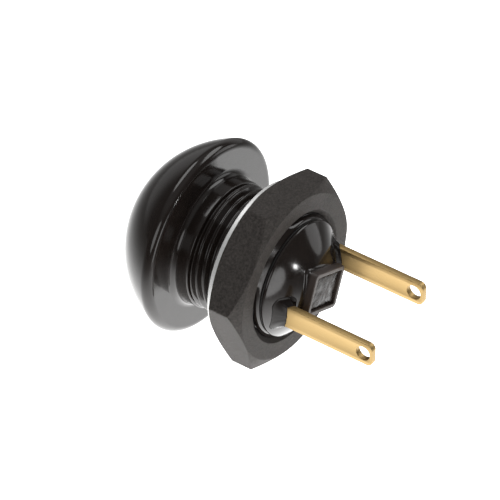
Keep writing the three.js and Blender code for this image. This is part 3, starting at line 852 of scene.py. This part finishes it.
def dome(scene):
    """Centre and radius of the sphere that runs into the rim's rounding."""
    rim, height = scene.button_head.rim, scene.button_head.height
    radius = high("bezel_bushing").x
    reach = radius - rim
    sphere = (reach ** 2 + (height - rim) ** 2 - rim ** 2) / (2 * (height - 2 * rim))
    return sphere - height, sphere


class PUSHBUTTON_OT_bezel(Operator):
    """Domed head, neck and threaded barrel in one moulding"""

    bl_idname = "pushbutton.bezel"
    bl_label = "Bezel and barrel"

    def execute(self, context):
        scene = context.scene
        head, thread = scene.button_head, scene.button_thread
        centre, sphere = dome(scene)
        radius, rear = high("bezel_bushing").x, high("bezel_bushing").y
        lip = head.button_bore + head.lip
        rim_angle = -math.asin((centre + head.rim) / (sphere - head.rim))
        lip_angle = -math.acos(lip / sphere)
        lip_y = centre - math.sqrt(sphere ** 2 - lip ** 2)
        seal_y = (low("button_seal").y + high("button_seal").y) / 2
        before = rounded([
            (head.bore, 0, 0), (head.bore, head.bore_front, 0.2),
            (head.button_bore, head.bore_front, 0.1), (head.button_bore, seal_y + head.groove_half, 0.05),
            (head.groove, seal_y + head.groove_half, 0.1), (head.groove, seal_y - head.groove_half, 0.1),
            (head.button_bore, seal_y - head.groove_half, 0.05),
            (head.button_bore, lip_y + head.lip, 0.15), (lip, lip_y, 0),
        ])
        skin = arc((0, centre), sphere, lip_angle, rim_angle, 56)
        rim = arc((radius - head.rim, -head.rim), head.rim, rim_angle, math.pi / 2, 14)
        thread_front = head.neck_length + head.thread_start
        thread_rear = rear - head.thread_end
        neck = rounded([
            (radius - head.rim, 0, 0), (head.neck, 0, head.flare / MM),
            (head.neck, head.neck_length, 0.12), (thread.root, head.neck_length + 0.2 * MM, 0.08),
            (thread.major, thread_front, 0),
        ])[1:-1]
        end = rounded([
            (thread.major, thread_rear, 0), (thread.root, rear, 0.1), (head.bore, rear, 0.1),
            (head.bore, 0, 0),
        ])[1:-1]
        rows = thread_rows(thread.major, thread_front, thread_rear, thread.pitch)
        outline = before[:-1] + skin + rim[1:] + neck + rows + end
        name = "bezel_shell"
        piece = object_of(mesh_of(spin(lambda _: outline, even_angles(160)), name), name)
        thread_tree().run(
            piece, Pitch=thread.pitch, Depth=thread.major - thread.root, **BARREL_FLANK,
            Material=finish_named(gloss_black_plastic),
        )
        fit(piece, gloss_black_plastic, "housing", "bezel_bushing")
        return {"FINISHED"}


class PUSHBUTTON_OT_button(Operator):
    """Button that is pressed, with its rubber seal"""

    bl_idname = "pushbutton.button"
    bl_label = "Button and seal"

    def execute(self, context):
        size = context.scene.button_plunger
        apex = low("push_button").y
        reach = size.radius - size.edge_round
        crown = (reach ** 2 + (size.edge - apex) ** 2) / (2 * (size.edge - apex))
        crown_end = -math.acos(reach / crown)
        stem_hole = size.stem + STEM_GAP
        spigot_end = high("push_button").y
        socket_end = low("plunger_stem").y - STEM_GAP
        crown_arc = arc((0, apex + crown), crown, -math.pi / 2, crown_end, 24)
        crown_arc[0] = (0, apex)
        outline = crown_arc + rounded([
            (reach, size.edge, 0), (size.radius, size.edge + 0.05 * MM, 0.3),
            (size.radius, size.flange_front, 0.1), (high("push_button").x, size.flange_front, 0.15),
            (high("push_button").x, size.flange_rear, 0.15), (size.spigot, size.flange_rear, 0.1),
            (size.spigot, spigot_end, 0.15), (stem_hole, spigot_end, 0.05), (stem_hole, socket_end, 0.05),
            (0, socket_end, 0),
        ])[1:]
        shape = spin(lambda _: outline, even_angles(96))
        build("button_crown", shape, button_black_plastic, "button", "push_button")
        front, rear = low("button_seal"), high("button_seal")
        section = (rear.y - front.y) / 2 - 0.005 * MM
        middle = (rear.x - section, (rear.y + front.y) / 2)
        ring = arc(middle, section, 0, FULL_TURN, 28)[:-1]
        build("seal_ring", spin(lambda _: ring, even_angles(96)), seal_rubber, "housing", "button_seal")
        return {"FINISHED"}


class PUSHBUTTON_OT_stem(Operator):
    """Steel stem with its retaining clip"""

    bl_idname = "pushbutton.stem"
    bl_label = "Stem and clip"

    def execute(self, context):
        size = context.scene.button_plunger
        front, rear = ends("plunger_stem")
        clip_front, clip_rear = ends("retaining_clip")
        gap = STEM_GAP
        stem = turned([
            (0, front, 0), (size.stem, front, 0.1), (size.stem, clip_front - gap, 0.03),
            (size.stem_groove, clip_front - gap, 0.03), (size.stem_groove, clip_rear + gap, 0.03),
            (size.stem, clip_rear + gap, 0.03), (size.stem, rear, 0.3), (0, rear, 0),
        ], 48)
        build("stem_pin", stem, spring_steel, "button", "plunger_stem")
        mouth = math.radians(32)
        outer, inner = high("retaining_clip").z, size.stem_groove + gap
        start, end = mouth - math.pi / 2, 1.5 * math.pi - mouth
        loop = arc((0, 0), outer, start, end, 60) + arc((0, 0), inner, end, start, 40)
        middle = (clip_front + clip_rear) / 2
        clip = plate(
            loop, (), clip_rear - clip_front, 0.06 * MM, lambda u, v, n: (v, middle + n, u),
        )
        build("clip_ring", clip, spring_steel, "button", "retaining_clip", sharp=15)
        return {"FINISHED"}


def crown_height(size, radius):
    """Height of the rear cap's crown at a distance from its axis."""
    share = radius / high("rear_base").x
    return size.crown + (size.top - size.crown) * (1 - share ** 2)


SLOT_FRONT, SLOT_REAR = 9 * MM, 16 * MM  # the cutters run from inside the plug to clear of the crown
RESIN_GAP = 0.04 * MM
RESIN_CROWN = 0.12 * MM
RESIN_LUMP = 0.1 * MM  # height of the poured resin's lumps
LUMP_WIDTH = 0.9 * MM


class PUSHBUTTON_OT_rear_cap(Operator):
    """Rear cap with its plug, rounded shoulder, turned block, resin in the filling port and gasket"""

    bl_idname = "pushbutton.rear_cap"
    bl_label = "Rear cap"

    def block(self, size, turn, inset):
        corner = max(size.boss_corner - inset, 0.2 * MM)
        return box_radius(
            turn - size.boss_turn, size.boss_half_length - inset, size.boss_half_width - inset, corner,
        )

    def cap_outline(self, size, turn):
        end = high("rear_base").y
        radius = high("rear_base").x
        wall = self.block(size, turn, 0)
        port = self.block(size, turn, size.boss_wall)
        first, last = radius - size.shoulder, wall + size.boss_reach
        plug = rounded([
            (0, size.pocket_end, 0), (size.pocket, size.pocket_end, 0.15),
            (size.pocket, low("rear_base").y, 0.15),
            (size.plug, low("rear_base").y, 0.2), (size.plug, size.edge, 0.05), (radius, size.edge, 0.05),
            (radius, size.crown, 0.3), (first, crown_height(size, first), 0),
        ])
        steps = 20
        reaches = [first + (last - first) * step / steps for step in range(1, steps + 1)]
        crown = [(reach, crown_height(size, reach)) for reach in reaches]
        rise = (crown[-1][1] - crown[-2][1]) / (crown[-2][0] - crown[-1][0])
        block = rounded([
            (*crown[-1], 0),
            (wall, crown[-1][1] + rise * (last - wall), size.boss_root / MM), (wall, end, 0.12),
            (port, end, 0.10), (port - 0.03 * MM, size.port_floor, 0.1), (0, size.port_floor, 0),
        ])
        return plug + crown + block[1:]

    def slot_cutter(self, lug, side):
        """The space that a lug's shank and shoulder fill, as one closed cutter."""
        half = lug.thickness / 2 + PRESSED_GAP
        x = side * (high("terminal_right").x - lug.thickness / 2)
        shank, blade = lug.shank / 2 + PRESSED_GAP, lug.blade / 2 + PRESSED_GAP
        shoulder = lug.shoulder - PRESSED_GAP
        outline = [
            (SLOT_FRONT, -shank), (shoulder, -shank), (shoulder, -blade), (SLOT_REAR, -blade),
            (SLOT_REAR, blade), (shoulder, blade), (shoulder, shank), (SLOT_FRONT, shank),
        ]
        bm = bmesh.new()
        sides = [
            [bm.verts.new((x + n, y, z - side * lug.offset)) for y, z in outline] for n in (-half, half)
        ]
        for k in range(len(outline)):
            m = (k + 1) % len(outline)
            bm.faces.new((sides[0][k], sides[0][m], sides[1][m], sides[1][k]))
        for row in sides:
            bm.faces.new(row)
        bmesh.ops.recalc_face_normals(bm, faces=bm.faces)
        return object_of(mesh_of(bm, "slot_cutter"), "slot_cutter")

    def execute(self, context):
        scene = context.scene
        size = scene.button_cap
        bm = spin(lambda turn: self.cap_outline(size, turn), even_angles(216))
        piece = object_of(mesh_of(bm, "rear_cap"), "rear_cap")
        cutters = [self.slot_cutter(scene.button_lug, side) for side in (1, -1)]
        for cutter in cutters:
            modifier = piece.modifiers.new("slot", "BOOLEAN")
            modifier.object = cutter
            modifier.solver = "EXACT"
        settled(piece, 40)
        for cutter in cutters:
            bpy.data.meshes.remove(cutter.data)
        fit(piece, gloss_black_plastic, "housing", "rear_base")

        fill = high("port_seal").y
        floor = size.port_floor + SEAM

        def port_outline(turn):
            wall = self.block(size, turn, size.boss_wall + RESIN_GAP)
            skin = rounded([(0, floor, 0), (wall, floor, 0.08), (wall, fill - 0.2 * MM, 0.1)])
            for share in (0.9, 0.75, 0.6, 0.45, 0.3, 0.15):
                reach, y = wall * share, fill - RESIN_CROWN * share ** 2
                place = Vector((reach * math.cos(turn), reach * math.sin(turn), y)) / LUMP_WIDTH
                skin.append((reach, y + RESIN_LUMP * noise.noise(place)))
            return skin + [(0, fill - 0.02 * MM)]

        build("port_resin", spin(port_outline, even_angles(144)), black_resin, "housing", "port_seal")

        front, rear = ends("base_gasket")
        inner = size.plug + SLIDING_GAP
        outer = high("base_gasket").x
        gasket = turned([
            (inner, front, 0.04), (outer, front, 0.1), (outer, rear, 0.1), (inner, rear, 0.04),
        ])
        build("gasket_ring", gasket, seal_rubber, "housing", "base_gasket")
        return {"FINISHED"}


LUG_EDGE = 0.07 * MM  # rounding of the stamped edges
CREEP = 2.2  # how steeply the resin climbs the lug


class PUSHBUTTON_OT_lugs(Operator):
    """Two stamped and bent solder lugs, with a bead of resin around each"""

    bl_idname = "pushbutton.lugs"
    bl_label = "Solder lugs and beads"

    def lug(self, scene, side):
        lug, contact = scene.button_lug, scene.button_contact
        thickness = lug.thickness
        blade_x = high("terminal_right").x - thickness / 2
        foot_x = low("terminal_right").x
        foot_y = low("terminal_right").y + thickness / 2
        straight = blade_x - lug.bend - foot_x
        arc_length = lug.bend * math.pi / 2
        rise_y = foot_y + lug.bend
        z = -side * lug.offset

        def along(y):
            return straight + arc_length + y - rise_y

        def place(u, v, n):
            if u <= straight:
                x, y = foot_x + u, foot_y - n
            elif u < straight + arc_length:
                turn = (u - straight) / lug.bend - math.pi / 2
                x = blade_x - lug.bend + (lug.bend + n) * math.cos(turn)
                y = rise_y + (lug.bend + n) * math.sin(turn)
            else:
                x, y = blade_x + n, rise_y + u - straight - arc_length
            return side * x, y, z + side * v

        tip = along(high("terminal_right").y)
        shank, half = lug.shank / 2, lug.blade / 2
        shoulder = along(lug.shoulder)
        corner = lug.tip_round
        outer = [
            (0, -shank), (shoulder, -shank), (shoulder, -half),
            *arc((tip - corner, corner - half), corner, -math.pi / 2, 0, 12),
            *arc((tip - corner, half - corner), corner, 0, math.pi / 2, 12),
            (shoulder, half), (shoulder, shank), (0, shank),
        ]
        bridge_angle = math.asin(lug.offset / contact.reach)
        rivet = contact.reach * math.cos(bridge_angle) - foot_x
        holes = [
            circle_loop((along(lug.eye_place), 0), lug.eye),
            circle_loop((rivet, 0), contact.shank + PRESSED_GAP, 28),
        ]
        bends = [straight + arc_length * step / 10 for step in range(11)]
        return plate(outer, holes, thickness, LUG_EDGE, place, bends)

    def bead(self, scene, side):
        """Resin that has crept up the lug and out over the cap."""
        size, lug = scene.button_cap, scene.button_lug
        x = side * (high("terminal_right").x - lug.thickness / 2)
        z = -side * lug.offset

        def outline(turn):
            inner = box_radius(turn, lug.thickness / 2 + SEAM, lug.blade / 2 + SEAM, LUG_EDGE)
            ragged = noise.noise(Vector((2 * math.cos(turn), 2 * math.sin(turn), 3.0 * side)))
            outer = box_radius(turn, lug.bead_half_x, lug.bead_half_z, lug.bead_corner) * (1 + 0.03 * ragged)
            height = lug.bead_height * (1 + 0.08 * ragged)
            shares = [step / 14 for step in range(15)]
            width = outer - inner
            top = [(inner + width * share, height * (1 - share) ** CREEP + SEAM) for share in shares]
            return top + [(outer - width * step / 5, SEAM / 2) for step in range(1, 6)]

        bm = spin(outline, even_angles(120))
        for vertex in bm.verts:
            vertex.co.x += x
            vertex.co.z += z
            vertex.co.y += crown_height(size, math.hypot(vertex.co.x, vertex.co.z))
        return bm

    def execute(self, context):
        scene = context.scene
        for side, hand in ((1, "right"), (-1, "left")):
            shape = self.lug(scene, side)
            build(f"lug_{hand}", shape, gold_plated_brass, "housing", f"terminal_{hand}", sharp=18)
            shape = self.bead(scene, side)
            build(f"bead_{hand}", shape, black_resin, "housing", f"terminal_seal_{hand}")
        return {"FINISHED"}


class PUSHBUTTON_OT_nut(Operator):
    """Moulded hexagon nut, both faces chamfered, with its thread"""

    bl_idname = "pushbutton.nut"
    bl_label = "Hexagon nut"

    def execute(self, context):
        nut, thread = context.scene.button_nut, context.scene.button_thread
        front, rear = ends("hex_nut")
        lead = nut.mouth - thread.minor
        rows = thread_rows(thread.minor, front + lead, rear - lead, thread.pitch)
        rows = [(r, y, min(cut, (rear - lead - y) / (FADE * thread.pitch))) for r, y, cut in rows]

        def outline(turn):
            side = hexagon_radius(turn - nut.turn, nut.corner, nut.corner_round)
            drop = (side - nut.face) * math.tan(nut.slope)
            skin = rounded([
                (thread.minor, rear - lead, 0), (nut.mouth, rear, 0.12), (nut.face, rear, 0.03),
                (side, rear - drop, 0.035), (side, front + drop, 0.035), (nut.face, front, 0.03),
                (nut.mouth, front, 0.12), (thread.minor, front + lead, 0),
            ])
            return rows[:-1] + skin[:-1]

        shares = [step / 20 for step in range(-20, 20)]
        angles = [
            nut.turn + math.radians(60 * corner + math.copysign(30 * abs(share) ** 2, share))
            for corner in range(6) for share in shares
        ]
        piece = object_of(mesh_of(spin(outline, angles), "lock_nut"), "lock_nut")
        thread_tree().run(
            piece, Pitch=thread.pitch, Depth=thread.minor - thread.nut_root, **NUT_FLANK,
            Material=finish_named(satin_black_nylon),
        )
        fit(piece, satin_black_nylon, "nut", "hex_nut")
        return {"FINISHED"}


class PUSHBUTTON_OT_washer(Operator):
    """Bright panel washer"""

    bl_idname = "pushbutton.washer"
    bl_label = "Washer"

    def execute(self, context):
        front, rear = low("panel_washer"), high("panel_washer")
        inner = context.scene.button_nut.washer_bore
        washer = turned([
            (inner, front.y, 0.08), (rear.x, front.y, 0.12), (rear.x, rear.y, 0.12),
            (inner, rear.y, 0.08),
        ], 144)
        build("washer_ring", washer, bright_washer, "washer", "panel_washer")
        return {"FINISHED"}


SEAT_GAP = 0.05 * MM  # what the CAD springs leave free at each end
LIP_GAP = 0.06 * MM  # between a seat's lip and the coil around it


class PUSHBUTTON_OT_springs(Operator):
    """Contact spring and return spring with their seats"""

    bl_idname = "pushbutton.springs"
    bl_label = "Springs and seats"

    def execute(self, context):
        scene = context.scene
        size = scene.button_spring
        press = high_limit("button_press")
        coils = {
            "contact": (
                size.contact_mean, size.contact_wire, size.contact_turns, "button",
                press - COUPLINGS["bridge_travel"] * press,
            ),
            "return": (size.return_mean, size.return_wire, size.return_turns, "housing", press),
        }
        tree = coil_tree()
        for kind, (mean, wire, turns, body, shortening) in coils.items():
            name = f"{kind}_coil"
            front, rear = ends(f"{kind}_spring")
            front, rear = front - SEAT_GAP, rear + SEAT_GAP
            piece = object_of(bpy.data.meshes.new(name), name)
            tree.run(
                piece, Mean=mean, Wire=wire, Turns=turns, Front=front + SEAM, Rear=rear - SEAM,
                Material=finish_named(spring_steel),
            )
            piece.data.polygons.foreach_set("use_smooth", [True] * len(piece.data.polygons))
            fit(piece, spring_steel, body, f"{kind}_spring")
            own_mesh(piece)

        def seat(node, disc, face, tip, lip, rims):
            """A flanged seat: a disc between two faces, and a lip up to the tip that centres the coil."""
            bore, rim = scene.button_plunger.stem + SLIDING_GAP, high(node).x
            return turned([
                (bore, disc, 0.05), (rim, disc, rims[0]), (rim, face, rims[0]),
                (lip, face, 0.05), (lip, tip, rims[1]), (bore, tip, 0.05),
            ], 72)

        front, rear = ends("contact_spring_seat")
        lip = size.contact_mean - size.contact_wire - LIP_GAP
        shape = seat("contact_spring_seat", rear, rear - size.contact_seat, front, lip, (0.1, 0.12))
        build("contact_coil_seat", shape, brown_insulator, "bridge", "contact_spring_seat")
        front, rear = ends("return_spring_seat")
        lip = size.return_mean - size.return_wire - LIP_GAP
        shape = seat("return_spring_seat", front, front + size.return_seat, rear, lip, (0.08, 0.08))
        build("return_coil_seat", shape, contact_brass, "button", "return_spring_seat")
        return {"FINISHED"}


class PUSHBUTTON_OT_contacts(Operator):
    """Moving bridge and the four silver rivets"""

    bl_idname = "pushbutton.contacts"
    bl_label = "Contacts"

    def rivet(self, size, face, shank_end, x, z):
        away = math.copysign(1, shank_end - face)
        back = face + away * size.thickness
        shank = size.shank - SEAM
        bm = turned([
            (0, face, 0), (size.radius, face, 0.18), (size.radius, back, 0.06), (shank, back, 0.03),
            (shank, shank_end, 0.06), (0, shank_end, 0),
        ], 48)
        bmesh.ops.translate(bm, verts=bm.verts, vec=(x, 0, z))
        return bm

    def execute(self, context):
        scene = context.scene
        size, lug, plunger = scene.button_contact, scene.button_lug, scene.button_plunger
        turn = math.asin(lug.offset / size.reach)
        front, rear = ends("contact_bridge")
        outer = rounded_loop(size.bridge_half_length, size.bridge_half_width, size.bridge_corner)
        holes = [circle_loop((0, 0), plunger.stem + SLIDING_GAP)]
        holes += [circle_loop((side * size.reach, 0), size.shank + PRESSED_GAP, 28) for side in (1, -1)]

        def place(u, v, n):
            x, z = u * math.cos(turn) + v * math.sin(turn), v * math.cos(turn) - u * math.sin(turn)
            return x, (front + rear) / 2 + n, z

        bar = plate(outer, holes, rear - front, 0.08 * MM, place)
        build("bridge_bar", bar, contact_brass, "bridge", "contact_bridge", sharp=18)
        for side, hand in ((1, "right"), (-1, "left")):
            x, z = side * size.reach * math.cos(turn), -side * lug.offset
            for kind, body in (("moving", "bridge"), ("fixed", "housing")):
                node = f"{kind}_contact_{hand}"
                head, tail = sorted(ends(node), reverse=kind == "moving")
                shape = self.rivet(size, head, tail, x, z)
                build(f"{kind}_rivet_{hand}", shape, silver_contact, body, node)
        return {"FINISHED"}


# ---- Stage ----

VIEW_RIGHT = Vector((-0.58552376, 0.81065524, 0.0))
VIEW_UP = Vector((-0.52151256, -0.37668047, 0.76559551))
VIEW_BACK = Vector((0.62063401, 0.44827436, 0.64332225))
CAMERA_PLACE = Vector((0.263904, 0.196191, 0.274431))
CAMERA_LENS = 259.128

LAMP_DISTANCE = 0.5
LAMP_AIM = Vector((0, 0.008, 0))
# Name, direction from the object, width, height, roll in degrees, brightness of the lit face
SOFTBOXES = (
    ("left_softbox", (-0.70, 0.33, 0.64), 0.36, 0.24, 0, 2.8),
    ("right_softbox", (0.90, 0.25, 0.36), 0.30, 0.30, 0, 2.2),
    ("rear_softbox", (0.31, 0.94, -0.07), 0.12, 0.34, -35, 3.2),
    ("far_softbox", (-0.80, 0.58, 0.08), 0.22, 0.22, 0, 1.3),
    ("top_softbox", (-0.10, -0.42, 0.90), 0.36, 0.28, 0, 3.0),
    ("rear_lamp", (-0.13, 0.98, 0.12), 0.045, 0.045, 0, 36.0),
)


class PUSHBUTTON_OT_stage(Operator):
    """Pale floor with a painted pool of light, soft studio light and the camera"""

    bl_idname = "pushbutton.stage"
    bl_label = "Stage"

    def world(self, scene):
        stage = scene.button_stage
        world = bpy.data.worlds.new("studio")
        world.use_nodes = True
        scene.world = world
        book = NodeBook(world.node_tree)
        book.tree.nodes.clear()
        direction = book.node("ShaderNodeTexCoord").outputs["Generated"]
        facing = book.channel("ShaderNodeVectorMath", "Value", {"operation": "DOT_PRODUCT"})
        book.feed(facing.socket.node.inputs[0], direction)
        book.feed(facing.socket.node.inputs[1], VIEW_BACK)
        height = book.split(direction)[2]
        ceiling = book.remap(height, 0.45, 0.85, stage.dark, stage.ceiling, True)
        strength = book.remap(facing, -0.55, -0.25, stage.bright, ceiling, True)
        back = book.node("ShaderNodeBackground", None, {"Color": (1, 1, 1, 1), "Strength": strength})
        book.node("ShaderNodeOutputWorld", None, {"Surface": back.outputs[0]})

    def floor(self, scene):
        stage = scene.button_stage
        bm = bmesh.new()
        bmesh.ops.create_grid(bm, x_segments=8, y_segments=8, size=stage.floor_size)
        bmesh.ops.translate(bm, verts=bm.verts, vec=(0, 0, stage.floor_height))
        piece = object_of(mesh_of(bm, "floor"), "floor")
        finish = Finish(stage.floor)
        finish.mottle(finish.noise(0.02, 2.0), 0.98, 1.0)
        finish.set(roughness=0.8)
        # Painted light: the floor emits its own pool of light below the object, fading with distance, so no shadow
        # shows there.
        x, y, _ = finish.split(finish.place)
        reach = (x * x + y * y) ** 0.5 / (stage.painted_pool_radius / MM)
        glow = 1.0 / (reach ** 3.0 + 1.0)
        finish.set(
            emission_color=finish.blend(glow, (0, 0, 0, 1), (1, 1, 1, 1)), emission_strength=stage.pool,
        )
        piece.data.materials.append(finish.material)

    def softbox(self, name, direction, width, height, roll, brightness):
        light = bpy.data.lights.new(name, "AREA")
        light.shape = "ELLIPSE"
        light.size, light.size_y = width, height
        light.energy = brightness * math.pi * (math.pi / 4 * width * height)
        lamp = bpy.data.objects.new(name, light)
        bpy.context.scene.collection.objects.link(lamp)
        away = Vector(direction).normalized()
        lamp.location = away * LAMP_DISTANCE + LAMP_AIM
        turn = away.to_track_quat("Z", "Y").to_matrix() @ Matrix.Rotation(math.radians(roll), 3, "Z")
        lamp.rotation_euler = turn.to_euler()

    def camera(self, scene):
        camera = bpy.data.cameras.new("camera")
        camera.lens = CAMERA_LENS
        camera.clip_start, camera.clip_end = 0.02, 20
        eye = bpy.data.objects.new("camera", camera)
        scene.collection.objects.link(eye)
        rotation = Matrix((VIEW_RIGHT, VIEW_UP, VIEW_BACK)).transposed()
        eye.matrix_world = Matrix.Translation(CAMERA_PLACE) @ rotation.to_4x4()
        scene.camera = eye

    def execute(self, context):
        scene = context.scene
        self.world(scene)
        self.floor(scene)
        for box in SOFTBOXES:
            self.softbox(*box)
        self.camera(scene)
        scene.view_settings.view_transform = "Standard"
        return {"FINISHED"}


# ---- Add-on ----

OPERATORS = (
    PUSHBUTTON_OT_bezel,
    PUSHBUTTON_OT_button,
    PUSHBUTTON_OT_stem,
    PUSHBUTTON_OT_rear_cap,
    PUSHBUTTON_OT_lugs,
    PUSHBUTTON_OT_nut,
    PUSHBUTTON_OT_washer,
    PUSHBUTTON_OT_springs,
    PUSHBUTTON_OT_contacts,
    PUSHBUTTON_OT_stage,
)


class PUSHBUTTON_PT_pieces(Panel):
    """Sizes, colours and pieces of the push button"""

    bl_idname = "PUSHBUTTON_PT_pieces"
    bl_label = "Push Button"
    bl_space_type = "VIEW_3D"
    bl_region_type = "UI"
    bl_category = "Push Button"

    def draw(self, context):
        for group in GROUPS:
            settings = getattr(context.scene, group)
            column = self.layout.column(align=True)
            for name in settings.bl_rna.properties.keys():
                if name not in ("rna_type", "name"):
                    column.prop(settings, name)
        for operator in OPERATORS:
            self.layout.operator(operator.bl_idname)


def register():
    for cls in (*GROUPS.values(), *OPERATORS, PUSHBUTTON_PT_pieces):
        bpy.utils.register_class(cls)
    for name, group in GROUPS.items():
        setattr(bpy.types.Scene, name, PointerProperty(type=group))


def unregister():
    for name in GROUPS:
        delattr(bpy.types.Scene, name)
    for cls in (PUSHBUTTON_PT_pieces, *OPERATORS, *GROUPS.values()):
        bpy.utils.unregister_class(cls)


def main():
    register()
    for operator in OPERATORS:
        family, name = operator.bl_idname.split(".")
        getattr(getattr(bpy.ops, family), name)()


if __name__ == "__main__":
    main()
